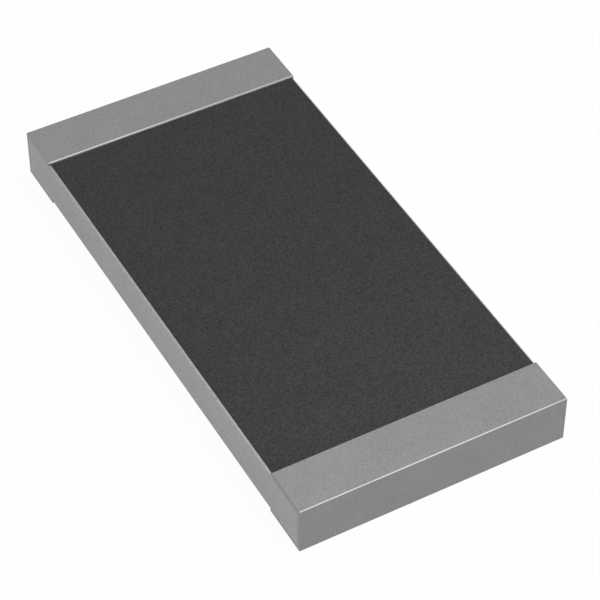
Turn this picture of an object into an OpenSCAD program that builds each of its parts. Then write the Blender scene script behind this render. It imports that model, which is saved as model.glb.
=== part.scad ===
// Surface-mount chip resistor of the 2512 size: printed and plated layers on an alumina plate.
// X runs along the chip, Y across it and Z up. The origin is the middle of the solder plane, under the chip.

/* [Chip outline] */
// Length over both terminations
chip_length = 6.35; // [5.5:0.05:7.5]
// Width across the long sides
chip_width = 3.11; // [2.4:0.01:3.8]

/* [Ceramic substrate] */
// Thickness of the alumina plate
substrate_thickness = 0.514; // [0.35:0.001:0.8]
// Radius of the scribed edges along the top of the long sides
scribe_edge_radius = 0.016; // [0.008:0.001:0.024]

/* [Silver electrodes] */
// Margin between the silver prints and the long sides of the chip
electrode_side_margin = 0.035; // [0.028:0.001:0.1]
// Thickness of the top electrodes
top_electrode_thickness = 0.011; // [0.006:0.001:0.016]
// Distance that the top electrodes run in under the black overcoat
top_electrode_reach = 0.3; // [0.26:0.01:0.8]
// Thickness of the bottom electrodes
bottom_electrode_thickness = 0.022; // [0.01:0.001:0.04]
// Thickness of the silver coat on the end faces
end_electrode_thickness = 0.018; // [0.003:0.001:0.03]

/* [Plating] */
// Length of the terminations on the top face
top_termination_length = 0.589; // [0.35:0.001:1]
// Length of the terminations on the underside
bottom_termination_length = 0.6; // [0.35:0.01:1.5]
// Thickness of the nickel barrier
nickel_thickness = 0.009; // [0.004:0.001:0.015]
// Thickness of the tin over the nickel
tin_thickness = 0.02; // [0.016:0.001:0.03]
// Radius of the tin's top edge at the end of the chip
tin_edge_radius = 0.016; // [0.006:0.001:0.016]
// Radius of the tin's edges along the sides and under the chip
tin_side_radius = 0.014; // [0.006:0.001:0.016]
// Radius of the tin's upright corners
tin_corner_radius = 0.004; // [0.002:0.001:0.016]
// Radius of the tin's lip beside the black overcoat
tin_lip_radius = 0.016; // [0.004:0.001:0.016]

/* [Resistive element] */
// Thickness of the resistive film
film_thickness = 0.004; // [0.003:0.001:0.008]
// Margin between the film and the long sides of the chip
film_side_margin = 0.275; // [0.1:0.005:0.5]
// Length of film that lies on each top electrode
film_overlap = 0.2; // [0.1:0.01:0.24]
// Width of the laser trim cut
trim_cut_width = 0.05; // [0.03:0.005:0.1]
// Distance of the trim cut's first leg from the middle of the chip
trim_cut_offset = 0.4; // [0:0.05:1]
// Length of the trim cut's second leg, along the chip
trim_leg_length = 0.8; // [0.2:0.05:1.5]
// Width of film left whole past the end of the trim cut
trim_bridge = 1.3; // [0.6:0.05:1.8]

/* [Protective layers] */
// Thickness of the glass over the film
glass_thickness = 0.004; // [0.002:0.001:0.008]
// Width of the glass border round the film
glass_border = 0.05; // [0.02:0.005:0.06]
// Thickness of the black overcoat where it is thinnest, over the glass on the electrodes
overcoat_cover = 0.003; // [0.002:0.001:0.01]
// Margin between the black overcoat and the long sides of the chip
overcoat_side_margin = 0.027; // [0.016:0.001:0.034]
// Radius along the long top edges of the black overcoat
overcoat_edge_radius = 0.008; // [0.003:0.001:0.015]

/* [Hidden] */
$fn = 64;

// Signs of the two ends along X
left = -1;
right = 1;

// How far a cutter passes the face that it opens
cutter_overrun = 0.1;

// Heights above the solder plane
substrate_bottom = tin_thickness + nickel_thickness + bottom_electrode_thickness;
substrate_top = substrate_bottom + substrate_thickness;
substrate_middle = (substrate_bottom + substrate_top) / 2;
electrode_top = substrate_top + top_electrode_thickness;
chip_height = electrode_top + nickel_thickness + tin_thickness;
overcoat_top = electrode_top + film_thickness + glass_thickness + overcoat_cover;

// Places along X, counted outwards from the middle of the chip
chip_end = chip_length / 2;
end_electrode_face = chip_end - tin_thickness - nickel_thickness;
substrate_end = end_electrode_face - end_electrode_thickness;
overcoat_end = chip_end - top_termination_length;
electrode_inner_edge = overcoat_end - top_electrode_reach;
film_end = electrode_inner_edge + film_overlap;
bottom_tin_edge = chip_end - bottom_termination_length;
bottom_electrode_edge = bottom_tin_edge + tin_thickness + nickel_thickness;

// Half widths along Y
chip_side = chip_width / 2;
overcoat_side = chip_side - overcoat_side_margin;
electrode_side = chip_side - electrode_side_margin;
film_side = chip_side - film_side_margin;
glass_side = film_side + glass_border;
trim_cut_end = film_side - trim_bridge;

// Draws the right-hand end at either end of the chip
module at_end(side) {
    mirror([side == left ? 1 : 0, 0, 0])
        children();
}

// Sweeps an outline in X and Z across the chip, to both sides of the middle
module across(half_width) {
    rotate([90, 0, 0])
        linear_extrude(height = 2 * half_width, center = true)
            children();
}

// Sweeps an outline in Y and Z along the chip, to both sides of the middle
module along(half_length) {
    rotate([90, 0, 90])
        linear_extrude(height = 2 * half_length, center = true)
            children();
}

// Block between two places along X and two heights, even about the middle of the width
module block(from_x, to_x, half_width, from_z, to_z) {
    translate([from_x, -half_width, from_z])
        cube([to_x - from_x, 2 * half_width, to_z - from_z]);
}

// What is cut off an outline's corner to leave a quarter round; inward gives the signs that lead into it
module corner_cut(corner, inward, radius) {
    translate(corner)
        mirror([inward.x < 0 ? 1 : 0, 0])
            mirror([0, inward.y < 0 ? 1 : 0])
                difference() {
                    translate([-cutter_overrun, -cutter_overrun])
                        square(radius + cutter_overrun);
                    translate([radius, radius])
                        circle(radius);
                }
}

// Rectangle about the middle of the chip with four quarter-round corners
module rounded_outline(half_x, from_y, to_y, radius) {
    difference() {
        translate([-half_x, from_y])
            square([2 * half_x, to_y - from_y]);
        for (sign = [left, right]) {
            corner_cut([sign * half_x, from_y], [-sign, 1], radius);
            corner_cut([sign * half_x, to_y], [-sign, -1], radius);
        }
    }
}

// Side view of a printed layer that drapes over both top electrodes and dips onto the plate between them
module draped_outline(half_length, layer_height) {
    dip_top = electrode_inner_edge - layer_height;
    dip_foot = dip_top - top_electrode_thickness;
    raised = electrode_top + layer_height;
    dipped = substrate_top + layer_height;
    polygon([
        [-half_length, substrate_top],
        [-half_length, raised],
        [-dip_top, raised],
        [-dip_foot, dipped],
        [dip_foot, dipped],
        [dip_top, raised],
        [half_length, raised],
        [half_length, substrate_top],
    ]);
}

// L-shaped cut that the trimming laser burns through the glass and the film
module trim_cut() {
    cut_from = trim_cut_offset - trim_cut_width / 2;
    translate([0, 0, substrate_top - cutter_overrun])
        linear_extrude(height = overcoat_top - substrate_top + 2 * cutter_overrun)
            union() {
                translate([cut_from, -glass_side - cutter_overrun])
                    square([trim_cut_width, trim_cut_end + glass_side + cutter_overrun]);
                translate([cut_from, trim_cut_end - trim_cut_width])
                    square([trim_cut_width + trim_leg_length, trim_cut_width]);
            }
}

module film_form() {
    across(film_side)
        draped_outline(film_end, film_thickness);
}

module glass_form() {
    across(glass_side)
        draped_outline(film_end + glass_border, film_thickness + glass_thickness);
}

module top_electrodes() {
    for (side = [left, right])
        top_electrode(side);
}

// End of the chip as the nickel leaves it, filled in
module nickel_form() {
    nickel_side = electrode_side + nickel_thickness;
    nickel_end = end_electrode_face + nickel_thickness;
    block(overcoat_end, nickel_end, nickel_side, substrate_middle, electrode_top + nickel_thickness);
    block(bottom_tin_edge + tin_thickness, nickel_end, nickel_side, tin_thickness, substrate_middle);
}

// Side view of the end of the chip as the tin leaves it, filled in, with its four edges rounded
module tin_outline() {
    difference() {
        polygon([
            [overcoat_end, substrate_middle],
            [overcoat_end, chip_height],
            [chip_end, chip_height],
            [chip_end, 0],
            [bottom_tin_edge, 0],
            [bottom_tin_edge, substrate_middle],
        ]);
        corner_cut([overcoat_end, chip_height], [1, -1], tin_lip_radius);
        corner_cut([chip_end, chip_height], [-1, -1], tin_edge_radius);
        corner_cut([chip_end, 0], [-1, 1], tin_side_radius);
        corner_cut([bottom_tin_edge, 0], [1, 1], tin_side_radius);
    }
}

// The same end with the edges along its sides and its upright corners rounded too
module tin_form() {
    intersection() {
        across(chip_side)
            tin_outline();
        along(chip_end + cutter_overrun)
            rounded_outline(chip_side, 0, chip_height, tin_side_radius);
        translate([0, 0, -cutter_overrun])
            linear_extrude(height = chip_height + 2 * cutter_overrun)
                rounded_outline(chip_end, -chip_side, chip_side, tin_corner_radius);
    }
}

// Fired alumina plate, snapped from a larger tile along scribed lines that leave the top edges eased
module ceramic_substrate() {
    color([0.62, 0.62, 0.62])
        along(substrate_end)
            difference() {
                translate([-chip_side, substrate_bottom])
                    square([chip_width, substrate_thickness]);
                for (sign = [left, right])
                    corner_cut([sign * chip_side, substrate_top], [-sign, -1], scribe_edge_radius);
            }
}

// Silver pad printed under the plate
module bottom_electrode(side) {
    color([0.78, 0.77, 0.74])
        at_end(side)
            block(bottom_electrode_edge, substrate_end, electrode_side,
                  substrate_bottom - bottom_electrode_thickness, substrate_bottom);
}

// Silver pad printed on the plate, which carries the end of the film
module top_electrode(side) {
    color([0.78, 0.77, 0.74])
        at_end(side)
            block(electrode_inner_edge, substrate_end, electrode_side, substrate_top, electrode_top);
}

// Resistor print that drapes over both top electrodes, opened by the trim cut
module resistive_film() {
    color([0.2, 0.21, 0.23])
        difference() {
            film_form();
            top_electrodes();
            trim_cut();
        }
}

// Glass fired over the film and round its edges, opened by the same cut
module glass_passivation() {
    color([0.32, 0.42, 0.38])
        difference() {
            glass_form();
            film_form();
            top_electrodes();
            trim_cut();
        }
}

// Matt black print over the glass, which fills the trim cut and ends at the terminations
module black_overcoat() {
    color([0.25, 0.25, 0.25])
        difference() {
            along(overcoat_end)
                difference() {
                    translate([-overcoat_side, substrate_top])
                        square([2 * overcoat_side, overcoat_top - substrate_top]);
                    for (sign = [left, right])
                        corner_cut([sign * overcoat_side, overcoat_top], [-sign, -1], overcoat_edge_radius);
                }
            top_electrodes();
            difference() {
                glass_form();
                trim_cut();
            }
        }
}

// Silver coat on the end face, joining the top and bottom electrodes
module end_electrode(side) {
    color([0.7, 0.69, 0.66])
        at_end(side)
            block(substrate_end, end_electrode_face, electrode_side,
                  substrate_bottom - bottom_electrode_thickness, electrode_top);
}

// Nickel plated over all the silver that the overcoat leaves bare
module nickel_barrier(side) {
    color([0.66, 0.64, 0.58])
        difference() {
            at_end(side)
                nickel_form();
            ceramic_substrate();
            top_electrode(side);
            bottom_electrode(side);
            end_electrode(side);
        }
}

// Matt tin plated over the nickel, flush with the sides of the plate
module tin_plating(side) {
    color([0.58, 0.577, 0.57])
        difference() {
            at_end(side)
                difference() {
                    tin_form();
                    nickel_form();
                }
            ceramic_substrate();
        }
}

ceramic_substrate();
bottom_electrode(left);  // left_bottom_electrode
bottom_electrode(right);  // right_bottom_electrode
top_electrode(left);  // left_top_electrode
top_electrode(right);  // right_top_electrode
resistive_film();
glass_passivation();
black_overcoat();
end_electrode(left);  // left_end_electrode
end_electrode(right);  // right_end_electrode
nickel_barrier(left);  // left_nickel_barrier
nickel_barrier(right);  // right_nickel_barrier
tin_plating(left);  // left_tin_plating
tin_plating(right);  // right_tin_plating
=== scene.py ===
import math

import bpy
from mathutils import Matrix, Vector


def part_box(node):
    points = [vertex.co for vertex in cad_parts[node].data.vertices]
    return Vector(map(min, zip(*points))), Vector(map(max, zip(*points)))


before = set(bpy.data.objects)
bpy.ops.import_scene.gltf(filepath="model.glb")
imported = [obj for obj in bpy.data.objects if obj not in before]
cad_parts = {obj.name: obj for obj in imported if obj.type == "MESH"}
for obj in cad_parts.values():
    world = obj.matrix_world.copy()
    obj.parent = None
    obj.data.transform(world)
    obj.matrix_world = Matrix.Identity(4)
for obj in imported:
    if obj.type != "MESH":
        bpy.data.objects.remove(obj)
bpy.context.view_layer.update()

# Ceramic substrate: a plate of fired grey alumina, snapped from a larger tile along scribed lines.
# Its long sides and its underside stay bare. They show the sintered grain and a few open pores,
# with a smoother edge where the plate was scribed. That edge is painted paler as a highlight,
# and the sides are painted paler towards the foot, as painted light against the shade there.


def plug(node, values):
    """Fills a node's sockets: what varies over the surface is linked, and the rest is set."""
    for name, value in values.items():
        if isinstance(value, Shade):
            value.tree.links.new(value.socket, node.inputs[name])
        else:
            node.inputs[name].default_value = value


class Shade:
    """A socket in a shader tree. Python's operators on it add the Math nodes that work them out."""

    def __init__(self, tree, socket=None):
        self.tree = tree
        self.socket = socket

    def node(self, kind, settings, sockets, output=0):
        """Adds a node, makes its settings, fills its sockets, and gives one of its outputs."""
        made = self.tree.nodes.new(kind)
        for name, value in settings.items():
            setattr(made, name, value)
        plug(made, sockets)
        return Shade(self.tree, made.outputs[output])

    def math(self, operation, first, second):
        return self.node("ShaderNodeMath", {"operation": operation}, {0: first, 1: second})

    def __add__(self, other):
        return self.math("ADD", self, other)

    def __radd__(self, other):
        return self.math("ADD", other, self)

    def __sub__(self, other):
        return self.math("SUBTRACT", self, other)

    def __rsub__(self, other):
        return self.math("SUBTRACT", other, self)

    def __mul__(self, other):
        return self.math("MULTIPLY", self, other)

    def __rmul__(self, other):
        return self.math("MULTIPLY", other, self)

    def __abs__(self):
        return self.math("ABSOLUTE", self, 0.0)

    def larger(self, other):
        return self.math("MAXIMUM", self, other)

    def axes(self):
        """The three numbers of this vector."""
        return [self.node("ShaderNodeSeparateXYZ", {}, {"Vector": self}, axis) for axis in "XYZ"]

    def ramp(self, start, end):
        """0 up to start and 1 from end on, eased between them."""
        limits = {"Value": self, "From Min": start, "From Max": end}
        return self.node("ShaderNodeMapRange", {"interpolation_type": "SMOOTHSTEP"}, limits)

    def between(self, low, high):
        """The colour low where this is 0 and high where it is 1."""
        first_colour, second_colour, mixed_colour = 6, 7, 2
        blend = {"Factor": self, first_colour: low, second_colour: high}
        return self.node("ShaderNodeMix", {"data_type": "RGBA"}, blend, mixed_colour)

    def speckle(self, size, detail=2.0):
        """Noise over this place, in spots of about that size, from -0.5 to 0.5."""
        spots = {"Vector": self, "Scale": 1 / size, "Detail": detail}
        return self.node("ShaderNodeTexNoise", {}, spots) - 0.5

    def relief(self, depth):
        """The normal of a surface with this height on it, where 1 stands that many millimetres proud."""
        bump = {"Height": self, "Distance": depth / 1000, "Strength": 1.0}
        return self.node("ShaderNodeBump", {}, bump)


def grey(level, warm=0.0):
    """A grey of that level in a picture, 0 to 255, as light; warm lifts its red and lowers its blue."""
    shown = [(level + shift) / 255 for shift in (warm, 0.0, -warm)]
    return [((part + 0.055) / 1.055) ** 2.4 for part in shown] + [1.0]


def start_finish(name):
    """A new material, and the place on the chip in millimetres, to pattern it by."""
    finish = bpy.data.materials.new(name)
    finish.use_nodes = True
    blank = Shade(finish.node_tree)
    metres = blank.node("ShaderNodeTexCoord", {}, {}, "Object")
    to_millimetres = {0: metres, "Scale": 1000.0}
    return finish, blank.node("ShaderNodeVectorMath", {"operation": "SCALE"}, to_millimetres)


def fill(finish, values):
    """Fills the sockets of a material's shader."""
    plug(finish.node_tree.nodes["Principled BSDF"], values)


def give(finish, *names):
    """Gives a finish to the solids of those names."""
    for name in names:
        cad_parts[name].material_slots[0].material = finish


plate_foot, plate_top = (1000 * corner.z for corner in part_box("ceramic_substrate"))
scribe_depth = 0.02
foot_light_height = 0.15
grain_size = 0.02
pore_size = 0.03
alumina_cloud = 0.5
alumina_relief = 0.0012

alumina, place = start_finish("alumina")
height = place.axes()[2]
# The top edge band: smoother where the plate was scribed, and painted paler there as a highlight.
scribed_edge_and_highlight = height.ramp(plate_top - scribe_depth, plate_top - 0.3 * scribe_depth)
# Painted light: the sides grow paler towards the foot, against the shade near the floor.
foot_painted_light = height.ramp(plate_foot + foot_light_height, plate_foot)
grain = place.speckle(grain_size, detail=1.0)
cloud = place.speckle(alumina_cloud)
pores = place.speckle(pore_size, detail=0.0).ramp(0.24, 0.32)
tone = 0.5 + 1.2 * grain + 0.25 * cloud - 0.6 * pores + 0.15 * foot_painted_light
bare = tone.between(grey(140, -0.5), grey(184, -0.5))
# Painted highlight: the paler colour of the lit top edge.
edge_highlight_colour = tone.between(grey(148, -0.5), grey(195, -0.5))
fill(alumina, {
    "Base Color": scribed_edge_and_highlight.between(bare, edge_highlight_colour),
    "Roughness": 0.62 + 0.3 * grain - 0.15 * scribed_edge_and_highlight,
    "Specular IOR Level": 0.3,
    "Normal": (grain - pores).relief(alumina_relief),
})
give(alumina, "ceramic_substrate")

# Silver electrodes: pads of silver paste, screen printed at the ends of the plate and fired onto it.
# The threads of the printing screen leave a fine regular swell in them.

screen_pitch = 0.06
pitch_at_scale_one = math.pi / 10
flake_size = 0.015
silver_relief = 0.0015

silver, place = start_finish("silver_print")
bands = {"Vector": place, "Scale": pitch_at_scale_one / screen_pitch}
threads = [place.node("ShaderNodeTexWave", {"bands_direction": axis}, bands, "Fac") for axis in "XY"]
weave = threads[0] * threads[1]
flakes = place.speckle(flake_size)
tone = 0.5 + 0.8 * flakes + 0.2 * (weave - 0.5)
fill(silver, {
    "Base Color": tone.between(grey(176, 3), grey(206, 3)),
    "Metallic": 1.0,
    "Roughness": 0.42 + 0.3 * flakes,
    "Normal": (0.5 * flakes + weave).relief(silver_relief),
})
give(silver, "left_bottom_electrode", "right_bottom_electrode")
give(silver, "left_top_electrode", "right_top_electrode")

# Resistive film: metal oxide and glass, printed across the gap between the top electrodes and fired.
# A laser cuts it to value from one side, and leaves a thin melted rim along both edges of the cut.

cut_width = 0.05
cut_place = 0.4
cut_leg = 0.8
cut_bridge = 1.3
rim_width = 0.015
oxide_size = 0.012
film_cloud = 0.3
film_relief = 0.0008
cut_turn = 1000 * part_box("resistive_film")[1].y - cut_bridge - cut_width / 2


def melted_rim(place):
    """1 along the edges of the laser's cut, which runs in across the chip and then turns along it."""
    along, across, _ = place.axes()
    near = cut_width / 2 + 0.4 * rim_width
    far = cut_width / 2 + rim_width
    leg_end = cut_place + cut_width / 2 + cut_leg
    inward = abs(along - cut_place).ramp(far, near) * (across - cut_turn).ramp(far, near)
    turned = abs(across - cut_turn).ramp(far, near) * (cut_place - along).ramp(far, near)
    turned = turned * (along - leg_end).ramp(rim_width, 0.4 * rim_width)
    return inward.larger(turned)


oxide, place = start_finish("resistor_print")
rim = melted_rim(place)
grain = place.speckle(oxide_size)
cloud = place.speckle(film_cloud)
tone = 0.5 + 0.9 * grain + 0.3 * cloud
fill(oxide, {
    "Base Color": rim.between(tone.between(grey(40), grey(64)), grey(92, 2)),
    "Roughness": 0.38 + 0.3 * grain - 0.2 * rim,
    "Normal": (grain + 1.5 * rim).relief(film_relief),
})
give(oxide, "resistive_film")

# Glass passivation: a thin grey-green glass, fired over the film before the laser cuts through both.
# It is smooth and glossy but for small bubbles, and has the same melted rim along the cut.

bubble_size = 0.025
glass_cloud = 0.2
glass_relief = 0.0006
deep_green = (0.07, 0.14, 0.11, 1.0)
pale_green = (0.12, 0.21, 0.17, 1.0)

glass, place = start_finish("passivation_glass")
rim = melted_rim(place)
bubbles = place.speckle(bubble_size, detail=0.0).ramp(0.2, 0.28)
cloud = place.speckle(glass_cloud)
tone = 0.5 + 0.8 * cloud + 0.3 * bubbles + 0.4 * rim
fill(glass, {
    "Base Color": tone.between(deep_green, pale_green),
    "Roughness": 0.12 + 0.1 * cloud + 0.25 * bubbles,
    "Normal": (cloud + bubbles + rim).relief(glass_relief),
})
give(glass, "glass_passivation")

# Black overcoat: a black resin full of mineral filler, screen printed over the glass and cured.
# It fills the laser's cut and dries dead matt with a fine even speckle. It ends at the terminations,
# where its last few microns are painted pale: a painted highlight that widens the bright line of the
# tin's lip.

coat_end = 1000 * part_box("black_overcoat")[1].x
lip_highlight_reach = 0.0065
filler_size = 0.02
swell_size = 0.35
resin_relief = 0.0012

resin, place = start_finish("black_resin")
along = place.axes()[0]
# Painted highlight: a pale band at the coat's ends, next to the tin's lip.
lip_highlight_band = abs(along).ramp(coat_end - lip_highlight_reach, coat_end - 0.6 * lip_highlight_reach)
filler = place.speckle(filler_size, detail=1.0)
swell = place.speckle(swell_size)
tone = 0.5 + 1.5 * filler + 0.15 * swell
black = tone.between(grey(34, -0.4), grey(68, -0.4))
fill(resin, {
    "Base Color": lip_highlight_band.between(black, grey(190)),
    "Roughness": 0.6 + 0.3 * filler,
    "Specular IOR Level": 0.1,
    "Normal": filler.relief(resin_relief),
})
give(resin, "black_overcoat")

# End electrodes: a coat of silver resin on the two end faces, joining the prints above and below.
# It is wiped on and cured, duller than the fired silver, and keeps faint runs down the face.

run_size = 0.06
run_stretch = 5
end_relief = 0.001

end_silver, place = start_finish("end_silver")
squeeze = {0: place, 1: (1.0, 1.0, 1 / run_stretch)}
runs = place.node("ShaderNodeVectorMath", {"operation": "MULTIPLY"}, squeeze).speckle(run_size)
flakes = place.speckle(flake_size)
tone = 0.5 + 0.7 * flakes + 0.5 * runs
fill(end_silver, {
    "Base Color": tone.between(grey(150, 3), grey(184, 3)),
    "Metallic": 1.0,
    "Roughness": 0.52 + 0.3 * flakes,
    "Normal": (flakes + runs).relief(end_relief),
})
give(end_silver, "left_end_electrode", "right_end_electrode")

# Nickel barrier: a plating over all the bare silver, which keeps the solder from eating into it.
# It is smooth and faintly yellow, and built up of small round nodules.

nodule_size = 0.012
nickel_cloud = 0.3
nickel_relief = 0.0006

nickel, place = start_finish("nickel")
cells = {"Vector": place, "Scale": 1 / nodule_size}
nodules = 1 - place.node("ShaderNodeTexVoronoi", {}, cells, "Distance")
cloud = place.speckle(nickel_cloud)
tone = 0.2 + 0.6 * nodules + 0.4 * cloud
fill(nickel, {
    "Base Color": tone.between(grey(156, 6), grey(182, 6)),
    "Metallic": 1.0,
    "Roughness": 0.36 - 0.1 * nodules + 0.1 * cloud,
    "Normal": nodules.relief(nickel_relief),
})
give(nickel, "left_nickel_barrier", "right_nickel_barrier")

# Tin plating: the matt outer metal of the terminations, which takes the solder. It grows as fine
# crystals over the nickel, and tumbling in the plating barrel burnishes its rounded edges.

crystal_size = 0.02
tin_cloud = 0.4
tin_relief = 0.0008
matt_squareness = 0.995
burnished_squareness = 0.95

tin, place = start_finish("matt_tin")
facing = place.node("ShaderNodeNewGeometry", {}, {}, "Normal")
lengthwise, crosswise, upward = (abs(part) for part in facing.axes())
squareness = lengthwise.larger(crosswise).larger(upward)
burnish = squareness.ramp(matt_squareness, burnished_squareness)
crystals = place.speckle(crystal_size, detail=1.0) * (1 - burnish)
cloud = place.speckle(tin_cloud)
tone = 0.5 + 0.75 * crystals + 0.2 * cloud
fill(tin, {
    "Base Color": tone.between(grey(110), grey(157)),
    "Metallic": 1.0,
    "Specular Tint": (0.96, 0.96, 0.96, 1.0),
    "Roughness": 0.45 + 0.25 * crystals - 0.2 * burnish,
    "Normal": crystals.relief(tin_relief),
})
give(tin, "left_tin_plating", "right_tin_plating")

# Studio: a plain pale floor and an even pale surround, which the camera and the metal see as white.
# A tall softbox stands before the front end, to the camera's right. A small fill hangs over that end,
# and a wide softbox overhead.

floor_half = 0.4
corners = [(-1, -1), (1, -1), (1, 1), (-1, 1)]
floor_mesh = bpy.data.meshes.new("floor")
floor_mesh.from_pydata([(floor_half * x, floor_half * y, 0.0) for x, y in corners], [], [(0, 1, 2, 3)])
floor = bpy.data.objects.new("floor", floor_mesh)
bpy.context.scene.collection.objects.link(floor)

white = (1.0, 1.0, 1.0)
paper_white = (0.85, 0.85, 0.85, 1.0)
shadow_share = 0.045
surround_light = 0.65


def white_rays(blank):
    """1 on the rays that show the studio's white: the camera's own, and what gloss or glass turns."""
    kinds = ("Is Camera Ray", "Is Glossy Ray", "Is Transmission Ray")
    seen, mirrored, passed = (blank.node("ShaderNodeLightPath", {}, {}, kind) for kind in kinds)
    return seen + mirrored + passed


paper = bpy.data.materials.new("floor_paper")
paper.use_nodes = True
fill(paper, {"Base Color": paper_white, "Roughness": 0.9, "Specular IOR Level": 0.0})
tree = paper.node_tree
lit = Shade(tree, tree.nodes["Principled BSDF"].outputs[0])
glow = lit.node("ShaderNodeEmission", {}, {"Color": (*white, 1.0), "Strength": 1.0})
share = white_rays(lit) * (1 - shadow_share)
shown = lit.node("ShaderNodeMixShader", {}, {0: share, 1: lit, 2: glow})
tree.links.new(shown.socket, tree.nodes["Material Output"].inputs["Surface"])
floor_mesh.materials.append(paper)

world = bpy.data.worlds.new("studio")
world.use_nodes = True
tree = world.node_tree
blank = Shade(tree)
plain = blank.node("ShaderNodeBackground", {}, {"Color": (*white, 1.0), "Strength": surround_light})
bright = blank.node("ShaderNodeBackground", {}, {"Color": (*white, 1.0), "Strength": 1.0})
shown = blank.node("ShaderNodeMixShader", {}, {0: white_rays(blank), 1: plain, 2: bright})
tree.links.new(shown.socket, tree.nodes["World Output"].inputs["Surface"])
bpy.context.scene.world = world


def add_lamp(name, place, aim, size, radiance, colour):
    """A soft lamp at a place in millimetres, of that width and height, which glows at that radiance."""
    width, height = (side / 1000 for side in size)
    light = bpy.data.lights.new(name, "AREA")
    light.shape = "RECTANGLE"
    light.size = width
    light.size_y = height
    light.color = colour
    light.energy = radiance * math.pi * width * height
    lamp = bpy.data.objects.new(name, light)
    lamp.location = Vector(place) / 1000
    lamp.rotation_mode = "QUATERNION"
    lamp.rotation_quaternion = (Vector(aim) - Vector(place)).to_track_quat("-Z", "Y")
    lamp.visible_camera = False
    bpy.context.scene.collection.objects.link(lamp)


chip_middle = (0.0, 0.0, 0.6)
warm_white = (1.0, 0.925, 0.78)
add_lamp("front_softbox", (14.2, 6.9, 12.3), chip_middle, (9.0, 28.0), 1.85, white)
add_lamp("front_fill", (4.0, 0.3, 4.0), (0.0, 0.3, 4.0), (4.0, 4.0), 1.8, white)
add_lamp("overhead_softbox", (-5.0, 2.5, 50.0), chip_middle, (45.0, 45.0), 0.72, warm_white)

# Camera: looks down on the front end and one long side through a long lens, as the photograph does.
# The whole picture is used, with no shift and everything in focus.

camera_place = Vector((17.0231, -9.2131, 19.6255)) / 1000
camera_aim = Vector((0.6136, -0.1301, 0.581)) / 1000
view_angle = 13.5
camera_lens = bpy.data.cameras.new("camera")
camera_lens.angle = math.radians(view_angle)
camera_lens.clip_start = 0.001
camera_lens.clip_end = 10.0
camera = bpy.data.objects.new("camera", camera_lens)
camera.location = camera_place
camera.rotation_mode = "QUATERNION"
camera.rotation_quaternion = (camera_aim - camera_place).to_track_quat("-Z", "Y")
bpy.context.scene.collection.objects.link(camera)
bpy.context.scene.camera = camera
bpy.context.scene.view_settings.view_transform = "Standard"
